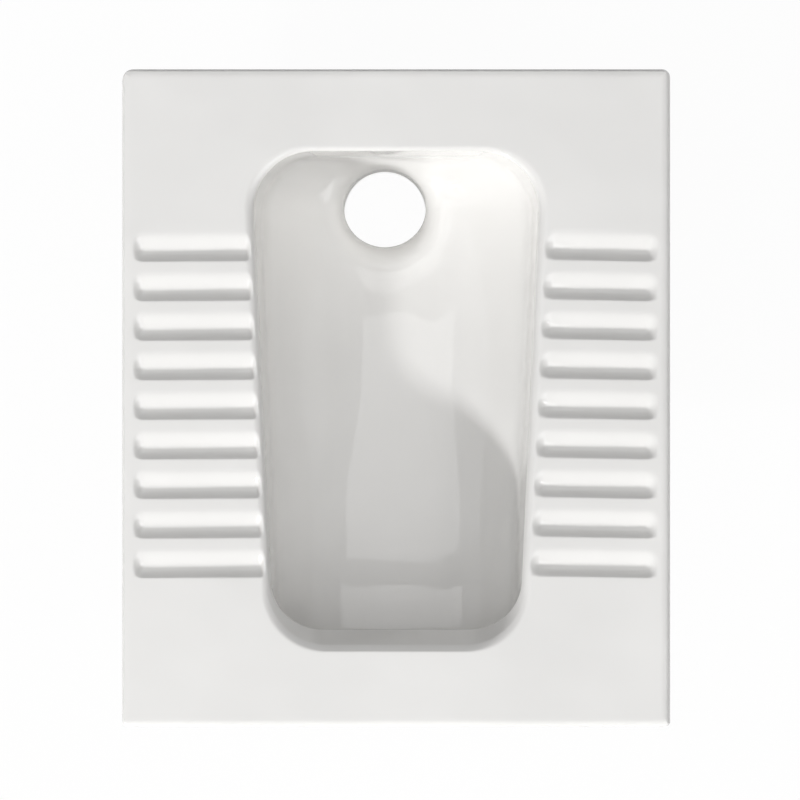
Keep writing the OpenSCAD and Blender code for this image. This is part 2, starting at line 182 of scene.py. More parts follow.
def mouthHalf(y):
    return pan["mouthFrontW"] / 2 + (y - mouthFrontY) * taperTan


def floorDepth(y):
    return mix(pan["frontDepth"], pan["outletDepth"], (y - mouthFrontY) / (outletY - mouthFrontY))


def grooveLine(i):
    return ((grooves["count"] - 1) / 2 - i) * grooves["pitch"] - grooves["shift"]


# Places along the side of the mouth, from front to rear, so that every groove is cut the same
frontArcEnd = mouthFrontY + pan["frontCornerR"] * (1 - math.sin(taper))
rearArcEnd = mouthRearY - pan["rearCornerR"] * (1 + math.sin(taper))
sideY = [grooveLine(i) + s for i in range(grooves["count"]) for s in grooveStations]
sideY += [frontArcEnd + 2, rearArcEnd - 4, rearArcEnd - 9, rearArcEnd - 14]
sideY = np.array(sorted(y for y in sideY if frontArcEnd + 1 < y < rearArcEnd - 1))
sideShares = (sideY - frontArcEnd) / (rearArcEnd - frontArcEnd)

arcShares = np.arange(arcSteps + 1) / arcSteps
frontEdge = (np.arange(frontEdgeSteps) + 0.5) / frontEdgeSteps
rearEdge = 1 - (np.arange(rearEdgeSteps) + 1) / (rearEdgeSteps + 0.5)
counts = [frontEdgeSteps, arcSteps + 1, len(sideY), arcSteps + 1, rearEdgeSteps]
starts = np.cumsum([0] + counts)
parts = [slice(a, b) for a, b in zip(starts[:-1], starts[1:])]
frontEdgePart, frontArcPart, sidePart, rearArcPart, rearEdgePart = parts
halfCount = starts[-1]
sideMask = np.zeros(halfCount, bool)
sideMask[sidePart] = True
sideMask = np.concatenate([sideMask, sideMask[::-1]])
rearMask = np.zeros(halfCount, bool)
rearMask[rearEdgePart] = True
rearMask = np.concatenate([rearMask, rearMask[::-1]])
frontWeight = np.concatenate([
    np.ones(counts[0]), 1 - smoothStep(arcShares), np.zeros(counts[2] + counts[3] + counts[4])])
rearWeight = np.concatenate([
    np.zeros(counts[0] + counts[1] + counts[2]), smoothStep(arcShares * 1.4), np.ones(counts[4])])
sideWeight = 1 - frontWeight - rearWeight


def outline(sideInset, frontInset, rearInset, tightening):
    # right half of a ring that lies inside the mouth's edge by these insets
    y0 = mouthFrontY + frontInset
    y1 = mouthRearY - rearInset
    frontR = max(pan["frontCornerR"] - frontInset * tightening, 25)
    rearR = max(pan["rearCornerR"] - rearInset * tightening, 25)
    lean = 1 / taperCos
    xFront = mouthHalf(y0) - sideInset * lean + frontR * (taperTan - lean)
    xRear = mouthHalf(y1) - sideInset * lean - rearR * (taperTan + lean)
    frontAngles = mix(-math.pi / 2, -taper, arcShares)
    rearAngles = mix(-taper, math.pi / 2, arcShares)
    frontArc = np.stack([xFront + frontR * np.cos(frontAngles),
                         y0 + frontR + frontR * np.sin(frontAngles)], 1)
    rearArc = np.stack([xRear + rearR * np.cos(rearAngles),
                        y1 - rearR + rearR * np.sin(rearAngles)], 1)
    alongY = mix(frontArc[-1, 1], rearArc[0, 1], sideShares)
    side = np.stack([mouthHalf(alongY) - sideInset * lean, alongY], 1)
    front = np.stack([xFront * frontEdge, np.full(frontEdgeSteps, y0)], 1)
    rear = np.stack([xRear * rearEdge, np.full(rearEdgeSteps, y1)], 1)
    return np.concatenate([front, frontArc, side, rearArc, rear])


def bothHalves(right, left=None):
    # whole ring, anticlockwise seen from above, from its right half and its mirrored left half
    left = right if left is None else left
    return np.concatenate([right, (left * [-1, 1, 1][:right.shape[1]])[::-1]])


def deckOutline(inset, frontR, rearR, side):
    # right half of a ring inside the deck's edge, point for point with the mouth's rings
    reach = pan["edgeReach"]
    share = {name: reach[name] / pan["edgeR"] if inset <= pan["edgeR"] else 1 for name in reach}
    x = pan["deckW"] / 2 - inset * share[side]
    y = pan["deckL"] / 2 - inset * share["rear"]
    frontY = -pan["deckL"] / 2 + inset * share["front"]
    frontR = max(frontR - inset, 0.6)
    rearR = max(rearR - inset, 0.6)
    mouth = outline(0, 0, 0, 0)
    points = mouth.copy()
    third = (arcSteps + 1) // 3
    steps = np.arange(third)
    turn = np.arange(third) / (third - 1) * math.pi / 2
    points[frontEdgePart, 1] = frontY
    arc = points[frontArcPart]
    startX = arc[0, 0]
    endY = arc[-1, 1]
    arc[:third] = np.stack([mix(startX, x - frontR, steps / third), np.full(third, frontY)], 1)
    cornerArc = [x - frontR + frontR * np.sin(turn), frontY + frontR - frontR * np.cos(turn)]
    arc[third:2 * third] = np.stack(cornerArc, 1)
    arc[2 * third:] = np.stack([np.full(third, x), mix(frontY + frontR, endY, (steps + 1) / third)], 1)
    points[sidePart, 0] = x
    arc = points[rearArcPart]
    startY = arc[0, 1]
    endX = arc[-1, 0]
    arc[:third] = np.stack([np.full(third, x), mix(startY, y - rearR, steps / third)], 1)
    cornerArc = [x - rearR + rearR * np.cos(turn), y - rearR + rearR * np.sin(turn)]
    arc[third:2 * third] = np.stack(cornerArc, 1)
    arc[2 * third:] = np.stack([mix(x - rearR, endX, (steps + 1) / third), np.full(third, y)], 1)
    points[rearEdgePart, 1] = y
    return points


def deckRing(inset):
    corners = pan["planCornerR"]
    return bothHalves(deckOutline(inset, corners["frontRight"], corners["rearRight"], "right"),
                      deckOutline(inset, corners["frontLeft"], corners["rearLeft"], "left"))


def withHeight(points, z):
    return np.column_stack([points, np.broadcast_to(z, len(points))])


def dishZ(points, shell):
    # height of the dished floor, or of the hull's underside where shell is the wall's thickness
    x, y = np.abs(points[:, 0]), points[:, 1]

    def rise(inset, foot, reach, share):
        t = np.clip((inset - foot + shell) / (reach - foot + shell), 0, 1)
        return (1 - share) * (1 - t) ** 2

    # the flat of the floor is wide at the front and narrow towards the outlet
    spanStart, spanEnd = pan["reachSpan"]
    sideReach = mix(*pan["sideReach"], smoothStep((y - spanStart) / (spanEnd - spanStart)))
    sides = rise((mouthHalf(y) - x) * taperCos, sideFoot, sideReach, pan["sideShare"])
    front = rise(y - mouthFrontY, -pan["undercut"], pan["frontReach"], pan["endShare"])
    rear = rise(mouthRearY - y, rearFoot, pan["rearReach"], pan["endShare"])
    left = (1 - sides) * (1 - front) * (1 - rear)
    sump = np.clip(np.hypot(points[:, 0] - boreCentre[0], y - boreCentre[1]) - pan["flareR"], 0, None)
    dip = pan["sumpDip"] * np.exp(-(sump / pan["sumpReach"]) ** 2) * left
    return pan["deckTop"] - (floorDepth(y) + shell) * left - dip


def lipStations():
    # (inset, drop) down the front lip: bend, two slopes, round nose, underside and the end wall's top
    bend = pan["lipT"] / 2
    noseX = pan["lipRun"] - bend
    slope = math.atan((pan["lipDrop"] - bend) / noseX)
    bendR = pan["lipBendR"]
    first = math.radians(pan["lipFirstSlope"])
    stations = [(bendR * math.sin(a), bendR * (1 - math.cos(a))) for a in np.linspace(0, first, 5)]
    # the lip's face folds softly from its first slope to its second
    foldX = pan["lipFirstRun"]
    bendX, bendDrop = stations[-1]
    foldDrop = bendDrop + (foldX - bendX) * math.tan(first)
    stations += [(foldX - 1, foldDrop - math.tan(first)), (foldX + 0.1, foldDrop + 0.2),
                 (foldX + 0.9, foldDrop + math.tan(slope) * 1.02)]
    for a in np.linspace(slope - math.pi / 2, slope + math.pi / 2, 11):
        stations.append((noseX + bend * math.cos(a), pan["lipDrop"] + bend * math.sin(a)))
    under = stations[-1]
    top = (under[0] - (under[1] - pan["deckT"]) / math.tan(slope), pan["deckT"])
    wall = (-pan["undercut"], pan["deckT"] + pan["undercut"] + 2)
    for t in (0.5, 0.85):
        stations.append((mix(under[0], top[0], t), mix(under[1], top[1], t)))
    for t in (0, 0.35, 0.7, 1):
        stations.append((mix(top[0] - 1, wall[0], t), mix(top[1], wall[1], t * t)))
    return stations


def rollStations(radius, outset, draft, count):
    # (inset, drop) over the mouth's roll and on down the wall
    rollCount = 14
    stations = [(radius * math.sin(a) - outset, radius * (1 - math.cos(a)))
                for a in np.linspace(0, math.radians(87), rollCount)]
    end = stations[-1]
    for t in np.linspace(0, 1, count - rollCount + 1)[1:]:
        stations.append((end[0] + draft * 0.3 * t, mix(end[1], 36, t)))
    return stations


def alongMeridians(lines, marks, places):
    # Points at the given places of smoothed lines. Each line is a list of points, marks are the
    # (first point, spread) pairs to round, and places are (from point, to point, share) rows.
    samples = 420
    result = []
    for line in lines:
        steps = np.linalg.norm(np.diff(line, axis=0), axis=1)
        run = np.concatenate([[0], np.cumsum(np.maximum(steps, 1e-4))])
        even = np.linspace(0, run[-1], samples)
        dense = np.stack([np.interp(even, run, line[:, k]) for k in range(3)], 1)
        gap = even[1]
        for mark, spread in marks:
            reach = int(math.ceil(3 * spread / gap))
            kernel = np.exp(-0.5 * (np.arange(-reach, reach + 1) * gap / spread) ** 2)
            kernel /= kernel.sum()
            padded = np.concatenate([
                2 * dense[0] - dense[reach:0:-1], dense, 2 * dense[-1] - dense[-2:-reach - 2:-1]])
            soft = np.stack([np.convolve(padded[:, k], kernel, "valid") for k in range(3)], 1)
            near = smoothStep(2 - np.abs(even - run[mark]) / (2.2 * spread))[:, None]
            ends = smoothStep(np.minimum(even, even[-1] - even) / spread)[:, None]
            dense = mix(dense, soft, near * ends)
        spots = [mix(run[a], run[b], t) for a, b, t in places]
        result.append(np.stack([np.interp(spots, even, dense[:, k]) for k in range(3)], 1))
    return np.array(result).transpose(1, 0, 2)


def grooveCut(points, mouthGap, outerGap, sideName):
    # depth of the grooves at points of the deck's side, mouthGap outside the mouth
    outwards = np.clip(mouthGap / 105, 0, 1)
    y = points[:, 1] - grooves["slant"][sideName] * (1 - outwards)
    number = np.clip(np.round((grooveLine(0) - y) / grooves["pitch"]), 0, grooves["count"] - 1)
    across = y - (grooveLine(0) - number * grooves["pitch"])
    number = np.where(across > grooves["rearRun"] + 4, number - 1, number)
    across = y - (grooveLine(0) - number * grooves["pitch"])
    across = np.where(number < 0, 99, across)
    inner = np.clip((mouthGap - grooves["innerGap"][sideName]) / grooves["innerRise"][sideName], 0, 1)
    outer = np.clip(outerGap / grooves["outerRise"][sideName], 0, 1)
    part = math.sin(inner * math.pi / 2) ** 1.2 * math.sin(outer * math.pi / 2) ** 1.3
    depth = mix(grooves["innerDepth"][sideName], grooves["outerDepth"][sideName], outwards)
    width = mix(grooves["endShrink"], 1, part)
    rearT = np.clip(across / (grooves["rearRun"] * width), 0, 1)
    frontT = np.clip(-across / (grooves["frontRun"] * width), 0, 1)
    rearSlope = 1 - (1.18 * rearT - 0.18 * rearT ** 3 * (4 - 3 * rearT))
    rearShape = mix(rearSlope, 1 - smoothStep(rearT), 0.55)
    frontShape = 1 - frontT ** 1.7
    return depth * part * np.where(across >= 0, rearShape, frontShape)


def cutGrooves(ring):
    # ring of the deck or of the mouth's roll, sunk where it crosses the grooves
    for name, side in (("right", 1), ("left", -1)):
        mask = sideMask & (ring[:, 0] * side > 0)
        mouthGap = (np.abs(ring[mask, 0]) - mouthHalf(ring[mask, 1])).mean() * taperCos
        outerGap = grooves["outerX"] - np.abs(ring[mask, 0]).mean()
        ring[mask, 2] -= grooveCut(ring[mask], mouthGap, 99 if mouthGap < 90 else outerGap, name)
    return ring


def buildPan():
    lip = lipStations()
    side = rollStations(pan["rollR"], pan["rollOutset"], pan["draft"], len(lip))
    rear = rollStations(pan["rearRollR"], pan["rearRollOutset"], pan["rearDraft"], len(lip))
    rings = []

    # mouth, roll and front lip
    for s, f, r in zip(side, lip, rear):
        points = outline(s[0], f[0], r[0], cornerTightening)
        drop = sideWeight * s[1] + frontWeight * f[1] + rearWeight * r[1]
        ring = bothHalves(withHeight(points, pan["deckTop"] - drop))
        rings.append(cutGrooves(ring) if s[0] < 1 else ring)

    # wall, dished floor and throat, along lines that run from the mouth to the outlet
    foot = outline(sideFoot, -pan["undercut"], rearFoot, cornerTightening)
    foot = bothHalves(withHeight(foot, dishZ(foot, 0)))
    away = foot[:, :2] - flareCentre
    distance = np.linalg.norm(away, axis=1)
    towards = away / distance[:, None]
    floorSamples = np.linspace(0, 1, 48)[1:] ** 1.15
    flareTurn = np.linspace(0, math.pi / 2, 15)[1:, None]
    lines = []
    for i, start in enumerate(rings[-1]):
        shoulder = flareCentre + towards[i] * min(pan["flareR"], distance[i] * 0.985)
        floor = withHeight(mix(foot[i, :2], shoulder, floorSamples[:, None]), 0)
        floor[:, 2] = dishZ(floor, 0)
        neck = neckCentre + towards[i] * pan["neckHalf"]
        flare = np.column_stack([mix(neck, shoulder, 1 - np.sin(flareTurn)),
                                 mix(pan["neckZ"], floor[-1, 2], np.cos(flareTurn))])
        floor[-1, 2] += pan["jointRidge"]
        lines.append(np.concatenate([[start], [mix(start, foot[i], 0.5)], [foot[i]], floor, flare]))
    last = len(lines[0]) - 1
    flareStart = last - len(flareTurn)
    places = [(0, 2, t) for t in np.linspace(0, 1, 9)[1:]]
    places += [(2, flareStart - 1, 0.4 * t + 0.6 * t * t) for t in np.linspace(0, 1, 25)[1:]]
    places += [(flareStart - 1, flareStart, t) for t in (0.3, 0.55, 0.8, 1)]
    places += [(flareStart, last, t) for t in np.linspace(0, 1, 15)[1:]]
    rings += list(alongMeridians(lines, [(2, 14), (flareStart, 1.2)], places))
    neckRing = neckCentre + towards * pan["neckHalf"]
    boreRing = boreCentre + towards * pan["boreR"]
    for t in (0.25, 0.55, 1):
        height = mix(pan["neckZ"], pan["boreTopZ"], t)
        rings.append(withHeight(mix(neckRing, boreRing, smoothStep(t)), height))

    # spigot: bore, bare end, outside and the seal's seat
    hullFoot = outline(sideFoot - pan["wallT"], -pan["undercut"] - pan["wallT"], rearHullFoot, 1)
    hullFoot = bothHalves(withHeight(hullFoot, dishZ(hullFoot, pan["wallT"])))
    away = hullFoot[:, :2] - boreCentre
    hullDistance = np.linalg.norm(away, axis=1)
    outwards = away / hullDistance[:, None]
    boreR, spigotR, seatZ = pan["boreR"], pan["spigotR"], pan["seatZ"]
    for t, r, z in (
            (0, boreR, 1.2), (0, boreR + 1.2, 0), (1, spigotR - 1.5, 0), (1, spigotR - 0.4, 0.5),
            (1, spigotR, 1.6), (1, spigotR, seatZ - 1.4), (1, spigotR - 0.3, seatZ - 0.5),
            (1, pan["seatR"], seatZ), (1, pan["seatR"], pan["seatTopZ"])):
        rings.append(withHeight(boreCentre + mix(towards, outwards, t) * r, z))

    # hull, from the spigot's flare up to the outside of the wall
    hullTop = bothHalves(outline(sideFoot - 2 - pan["wallT"], -pan["undercut"] - pan["wallT"],
                                 rearHullFoot - 2, 1))
    wallZ = 150
    deckUnder = pan["deckTop"] - pan["deckT"]
    lines = []
    for i, end in enumerate(hullFoot):
        flare = boreCentre + outwards[i] * min(60, hullDistance[i] * 0.97)
        under = mix(flare, end[:2], np.linspace(0, 1, 30)[:, None])
        wall = mix(end[:2], hullTop[i], (wallZ - end[2]) / (deckUnder - end[2]))
        seat = boreCentre + outwards[i] * pan["seatR"]
        lines.append(np.concatenate([
            [[*seat, pan["seatTopZ"]]], [[*seat, pan["seatTopZ"] + 9]],
            withHeight(under, dishZ(under, pan["wallT"])), [[*wall, wallZ]]]))
    last = len(lines[0]) - 1
    places = [(0, 2, t) for t in (0.35, 0.55, 0.75, 0.9, 1)]
    places += [(2, last - 1, t) for t in np.linspace(0, 1, 16)[1:]]
    places += [(last - 1, last, t) for t in np.linspace(0, 1, 5)[1:]]
    rings += list(alongMeridians(lines, [(2, 4), (last - 1, 10)], places))

    # underside of the deck with its ribs, and the skirt
    first = len(rings)
    rings += underDeck(rings[-1], hullTop, wallZ, deckUnder)
    softened = np.array(rings[first - 3:])
    for _ in range(3):
        near = (softened[:-2, :] + softened[2:, :]) / 2
        beside = (np.roll(softened, 1, 1) + np.roll(softened, -1, 1))[1:-1] / 2
        softened[1:-1] = mix(softened[1:-1], (near + beside) / 2, 0.5)
    rings[first - 3:] = list(softened)
    skirtT = pan["skirtT"]
    skirtZ = pan["deckTop"] - pan["skirtH"]
    for inset, z in (
            (skirtT, skirtZ + 2.5), (skirtT - 0.5, skirtZ + 0.5), (skirtT - 1.6, skirtZ), (1.4, skirtZ),
            (0.4, skirtZ + 0.4), (0, skirtZ + 1.6), (0, skirtZ + 15)):
        rings.append(withHeight(deckRing(inset), z))

    # rolled edge and the deck's face with its grooves
    for a in np.linspace(0, math.pi / 2, 8):
        height = pan["deckTop"] - pan["edgeR"] * (1 - math.sin(a))
        rings.append(withHeight(deckRing(pan["edgeR"] * (1 - math.cos(a))), height))
    outerInsets = [9.5, 11, 12.3, 13.6, 15, 16.5, 18.2, 20.4, 23]
    innerGaps = [7, 5.2, 4, 3.1, 2.3, 1.5, 0.8]
    faceRings = [deckRing(e) for e in outerInsets]
    innerRings = []
    for gap in innerGaps:
        points = outline(-gap - pan["rollOutset"], -gap, -gap - pan["rearRollOutset"], cornerTightening)
        innerRings.append(bothHalves(points))
    for ring in innerRings:
        ring[:, 1] = np.where(sideMask, faceRings[0][:, 1], ring[:, 1])
    faceRings += [mix(faceRings[-1], innerRings[0], t) for t in (0.2, 0.4, 0.6, 0.8)]
    faceRings += innerRings
    rings += [cutGrooves(withHeight(ring, pan["deckTop"])) for ring in faceRings]
    return extrudeRings("pan_china", rings)


ribs = {"sideY": (-138, 0, 138), "rearX": 68.75, "half": 5.5, "rootZ": 155, "rootRun": 14, "lowZ": 181}


def underDeck(wallRing, hullTop, wallZ, deckUnder):
    # rings from the hull's wall, under the deck and down inside the skirt; at a rib they run
    # along the rib's lower edge instead
    skirtIn = deckRing(pan["skirtT"])
    skirtLow = 179
    sides = [1 - smoothStep((np.abs(wallRing[:, 1] - y) - ribs["half"] + 2.5) / 4) for y in ribs["sideY"]]
    rear = 1 - smoothStep((np.abs(np.abs(wallRing[:, 0]) - ribs["rearX"]) - ribs["half"] + 2.5) / 4)
    ribPart = np.where(sideMask, np.max(sides, axis=0), np.where(rearMask, rear, 0))[:, None]
    run = (skirtIn - hullTop) / np.linalg.norm(skirtIn - hullTop, axis=1)[:, None]
    rootEnd = hullTop + run * ribs["rootRun"]
    plain = []
    ribbed = []
    wall = wallRing[:, :2]
    for t in np.linspace(0, 1, 7)[1:]:
        plain.append(withHeight(mix(wall, hullTop, t), mix(wallZ, deckUnder, t)))
        low = mix(ribs["rootZ"], ribs["lowZ"], t)
        ribbed.append(withHeight(mix(mix(wall, hullTop, t), rootEnd, t), low))
    for t in np.linspace(0, 1, 11)[1:]:
        plain.append(withHeight(mix(hullTop, skirtIn, t), deckUnder))
        ribbed.append(withHeight(mix(rootEnd, skirtIn, t), ribs["lowZ"]))
    for t in np.linspace(0, 1, 5)[1:]:
        plain.append(withHeight(skirtIn, mix(deckUnder, skirtLow, t)))
        ribbed.append(withHeight(skirtIn, mix(ribs["lowZ"], skirtLow, t)))
    return [mix(a, b, ribPart) for a, b in zip(plain, ribbed)]


# foot webs, inlet boss and inlet hole of the pan
webs = {"x": 55, "half": 6, "frontY": -170, "rearY": 30, "splay": 24, "splayH": 75, "cornerR": 5}
inlet = {
    "z": 150, "bossR": 39, "bossFace": -251, "wallFace": -248, "holeR": 18.9,
    "spotR": 27.6, "spotFace": -236.5,
}


def webRing(side, z, gap, grow):
    # ring of a foot web at height z, or at a gap below the hull where gap is given
    turn = np.linspace(0, math.pi / 2, 7)
    half = webs["half"] + grow
    corner = min(webs["cornerR"], half - 0.4)
    # the web grows longer towards the hull
    share = z / webs["splayH"] if gap is None else 1
    y0 = webs["frontY"] - grow - webs["splay"] * share
    y1 = webs["rearY"] + grow + webs["splay"] * share
    along = np.linspace(y0 + corner, y1 - corner, 26)[1:-1]
    right = np.stack([np.full(len(along), half), along], 1)
    rearRight = np.stack([half - corner + corner * np.cos(turn), y1 - corner + corner * np.sin(turn)], 1)
    frontRight = np.stack([half - corner + corner * np.sin(turn), y0 + corner - corner * np.cos(turn)], 1)
    halfRing = np.concatenate([frontRight, right, rearRight])
    ring = np.concatenate([halfRing, (halfRing * [-1, 1])[::-1]])
    ring[:, 0] += side * webs["x"]
    return withHeight(ring, z if gap is None else dishZ(ring, pan["wallT"]) - gap)


def buildWeb(side):
    rings = [webRing(side, z, None, grow) for z, grow in ((0, -1.8), (0.5, -0.6), (1.8, 0))]
    rings += [webRing(side, z, None, 0) for z in (12, 24, 36, 48)]
    rings += [webRing(side, 0, gap, grow) for gap, grow in (
        (9, 0), (6, 0.5), (3.6, 1.6), (1.8, 3.2), (0.4, 5.4), (-4, 7))]
    return extrudeRings("foot_web", rings, "fill")


def turnedRings(rows, centre, along, steps=72, radiusOf=None):
    # rings of a turned form: rows are (radius, place along the axis)
    angles = np.arange(steps) / steps * 2 * math.pi
    rings = []
    for radius, place in rows:
        r = radiusOf(radius, place, angles) if radiusOf else np.full(steps, float(radius))
        flat = np.full(steps, float(place))
        if along == "y":
            rings.append(np.stack([centre[0] + r * np.cos(angles), flat, centre[1] + r * np.sin(angles)], 1))
        else:
            rings.append(np.stack([centre[0] + r * np.cos(angles), centre[1] + r * np.sin(angles), flat], 1))
    return rings


def softCorners(corners, closed=True, steps=4):
    # section whose corners (radius, place, rounding) are rounded off
    rows = []
    for i, (r, d, rounding) in enumerate(corners):
        if rounding == 0 or (not closed and i in (0, len(corners) - 1)):
            rows.append((r, d))
            continue
        here = np.array([r, d])
        before = np.array(corners[i - 1][:2]) - here
        after = np.array(corners[(i + 1) % len(corners)][:2]) - here
        start = here + before / np.linalg.norm(before) * min(rounding, np.linalg.norm(before) * 0.48)
        end = here + after / np.linalg.norm(after) * min(rounding, np.linalg.norm(after) * 0.48)
        for t in np.linspace(0, 1, steps + 1):
            rows.append(tuple((1 - t) ** 2 * start + 2 * t * (1 - t) * here + t * t * end))
    return rows


def useBoolean(piece, tool, operation):
    clearSelection()
    bpy.context.view_layer.objects.active = piece
    piece.select_set(True)
    bpy.ops.object.modifier_add(type="BOOLEAN")
    modifier = piece.modifiers[-1]
    modifier.operation = operation
    modifier.solver = "MANIFOLD"
    modifier.object = tool
    bpy.ops.object.modifier_apply(modifier=modifier.name)
    clearSelection()
    tool.select_set(True)
    bpy.ops.object.delete()


def finishTurned(piece):
    # flat faces stay flat beside their rounded edges
    clearSelection()
    bpy.context.view_layer.objects.active = piece
    piece.select_set(True)
    bpy.ops.object.shade_smooth_by_angle(angle=math.radians(40))
    bpy.ops.object.modifier_add(type="WEIGHTED_NORMAL")
    piece.modifiers[-1].keep_sharp = True
    bpy.ops.object.modifier_apply(modifier=piece.modifiers[-1].name)


def buildBoss():
    face = inlet["bossFace"]
    wall = inlet["wallFace"]
    r = inlet["bossR"]
    rows = [(0, face), (28, face), (r - 1.4, face), (r - 0.5, face + 0.3), (r, face + 1.1),
            (r + 0.3, wall - 1), (r + 1.5, wall - 0.2), (r + 3.5, wall + 0.3), (r + 5, wall + 6),
            (0, wall + 6)]
    return extrudeRings("inlet_boss", turnedRings(rows, (0, inlet["z"]), "y"), "poles")


def buildInletCutter():
    spot = inlet["spotFace"]
    rows = [(0, -256), (inlet["holeR"], -256), (inlet["holeR"], spot), (inlet["spotR"], spot),
            (inlet["spotR"], -229), (0, -229)]
    return extrudeRings("inlet_cutter", turnedRings(rows, (0, inlet["z"]), "y"), "poles")


panPiece = buildPan()
print("pan:", len(panPiece.data.vertices), "points")
for side in (-1, 1):
    useBoolean(panPiece, buildWeb(side), "UNION")
useBoolean(panPiece, buildBoss(), "UNION")
useBoolean(panPiece, buildInletCutter(), "DIFFERENCE")
clearSelection()
bpy.context.view_layer.objects.active = panPiece
panPiece.select_set(True)
bpy.ops.object.shade_smooth_by_angle(angle=math.radians(50))
print("pan with webs, boss and inlet:", len(panPiece.data.vertices), "points")

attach(panPiece, "root")
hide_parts("pan")


# outlet seal
seal = {"inR": 49.8, "outR": 53.3, "lipR": 57.3, "z0": 22, "z1": 40, "lips": 3}


def buildSeal():
    pitch = (seal["z1"] - seal["z0"]) / seal["lips"]
    corners = [(seal["inR"], seal["z0"], 0.4), (seal["outR"], seal["z0"], 0.8)]
    for i in range(seal["lips"]):
        corners += [(seal["outR"], seal["z0"] + (i + 0.2) * pitch, 0.5),
                    (seal["lipR"], seal["z0"] + (i + 0.68) * pitch, 0.5),
                    (seal["lipR"], seal["z0"] + (i + 0.86) * pitch, 0.4),
                    (seal["outR"], seal["z0"] + (i + 0.95) * pitch, 0.3)]
    corners += [(seal["outR"], seal["z1"], 0.2), (seal["inR"], seal["z1"], 0.4)]
    rings = turnedRings(softCorners(corners), boreCentre, "z", 128)
    piece = extrudeRings("outlet_seal_rubber", rings)
    finishTurned(piece)
    return piece


sealPiece = buildSeal()
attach(sealPiece, "root")
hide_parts("outlet_seal")


# flush inlet fitting; places along it are y
fitting = {
    "flangeR": 27, "flangeBack": -233.5, "flangeFace": -230, "tailR": 18.3, "tailEnd": -272.8,
    "boreR": 14.3, "stopY": -252.8, "wayR": 12.3, "hoodR": 22, "hoodInR": 19.5, "hoodEnd": -221,
    "capT": 2.5, "hoodOpenZ": 158.8, "threadPitch": 1.6, "threadDepth": 0.75, "threadStart": -256,
    "nutHoleR": 18.6, "flats": 46, "pipeWayR": 14.6,
}


def tailThread(radius, place, angles):
    # the thread is cut into the tail only
    r = np.full(len(angles), float(radius))
    first = fitting["tailEnd"] + 1
    if radius > fitting["tailR"] - 0.1 and first < place < fitting["threadStart"]:
        wave = (place / fitting["threadPitch"] - angles / (2 * math.pi)) % 1
        r -= fitting["threadDepth"] * np.abs(2 * wave - 1) * min(1, (fitting["threadStart"] - place) / 2)
    return r


def buildSpreader():
    f = fitting
    capInside = f["hoodEnd"] - f["capT"]
    back = softCorners([
        (0, f["hoodEnd"], 0), (f["hoodR"], f["hoodEnd"], 2.4), (f["hoodR"], f["flangeFace"], 0.7),
        (f["flangeR"], f["flangeFace"], 0.9), (f["flangeR"], f["flangeBack"], 0.4),
        (f["tailR"], f["flangeBack"], 0.2), (f["tailR"], f["threadStart"] + 1, 0)], closed=False)
    thread = [(f["tailR"], y) for y in np.arange(f["threadStart"], f["tailEnd"] + 1, -0.2)]
    front = softCorners([
        (f["tailR"], f["tailEnd"] + 0.8, 0), (f["tailR"] - 0.8, f["tailEnd"], 0.2),
        (f["boreR"], f["tailEnd"], 0.5), (f["boreR"], f["stopY"], 0.1), (f["wayR"], f["stopY"], 0.3),
        (f["wayR"], f["flangeFace"], 0.6), (f["hoodInR"], f["flangeFace"], 0.6),
        (f["hoodInR"], capInside, 0.8), (0, capInside, 0)], closed=False)
    rings = turnedRings(back + thread + front, (0, inlet["z"]), "y", 96, tailThread)
    piece = extrudeRings("flush_spreader_brass", rings, "poles")
    clearSelection()
    # the hood is open from below up to hoodOpenZ
    lowZ = 106
    height = f["hoodOpenZ"] - lowZ
    place = (0, (f["flangeFace"] + capInside) / 2 * mm, (lowZ + height / 2) * mm)
    bpy.ops.mesh.primitive_cube_add(size=1, location=place)
    cutter = bpy.context.object
    bpy.ops.transform.resize(value=(4 * f["hoodR"] * mm, (capInside - f["flangeFace"]) * mm, height * mm))
    useBoolean(piece, cutter, "DIFFERENCE")
    finishTurned(piece)
    return piece


def buildWasher(name, y0, y1):
    f = fitting
    rows = softCorners([(f["nutHoleR"], y0, 0.3), (f["flangeR"], y0, 0.7), (f["flangeR"], y1, 0.7),
                        (f["nutHoleR"], y1, 0.3)])
    piece = extrudeRings(name, turnedRings(rows, (0, inlet["z"]), "y", 96))
    finishTurned(piece)
    return piece


def hexagonal(radius, place, angles):
    # rows wider than the flats are cut to the hexagon, so its ends are turned off at the corners
    turnIn = (angles + math.pi / 6) % (math.pi / 3) - math.pi / 6
    return np.minimum(radius, fitting["flats"] / 2 / np.maximum(np.cos(math.pi / 6 - np.abs(turnIn)), 0.5))


def buildNut(name, y0, y1, shoulder):
    f = fitting
    wide = f["flats"] / 2 / math.cos(math.pi / 6) - 0.25
    narrow = f["flats"] / 2 - 0.3
    outer = [(narrow, y0), (narrow + 0.9, y0 + 0.2), (wide, y0 + 1.9), (wide, y0 + 2.6), (wide, y1 - 2.6),
             (wide, y1 - 1.9), (narrow + 0.9, y1 - 0.2), (narrow, y1)]
    inner = [(f["nutHoleR"] + 0.8, y1), (f["nutHoleR"], y1 - 0.8)]
    if shoulder:
        inner += [(f["nutHoleR"], y0 + shoulder), (f["pipeWayR"], y0 + shoulder), (f["pipeWayR"], y0 + 0.5),
                  (f["pipeWayR"] + 0.5, y0)]
    else:
        inner += [(f["nutHoleR"], y0 + 0.8), (f["nutHoleR"] + 0.8, y0)]
    piece = extrudeRings(name, turnedRings(outer + inner, (0, inlet["z"]), "y", 144, hexagonal))
    finishTurned(piece)
    return piece


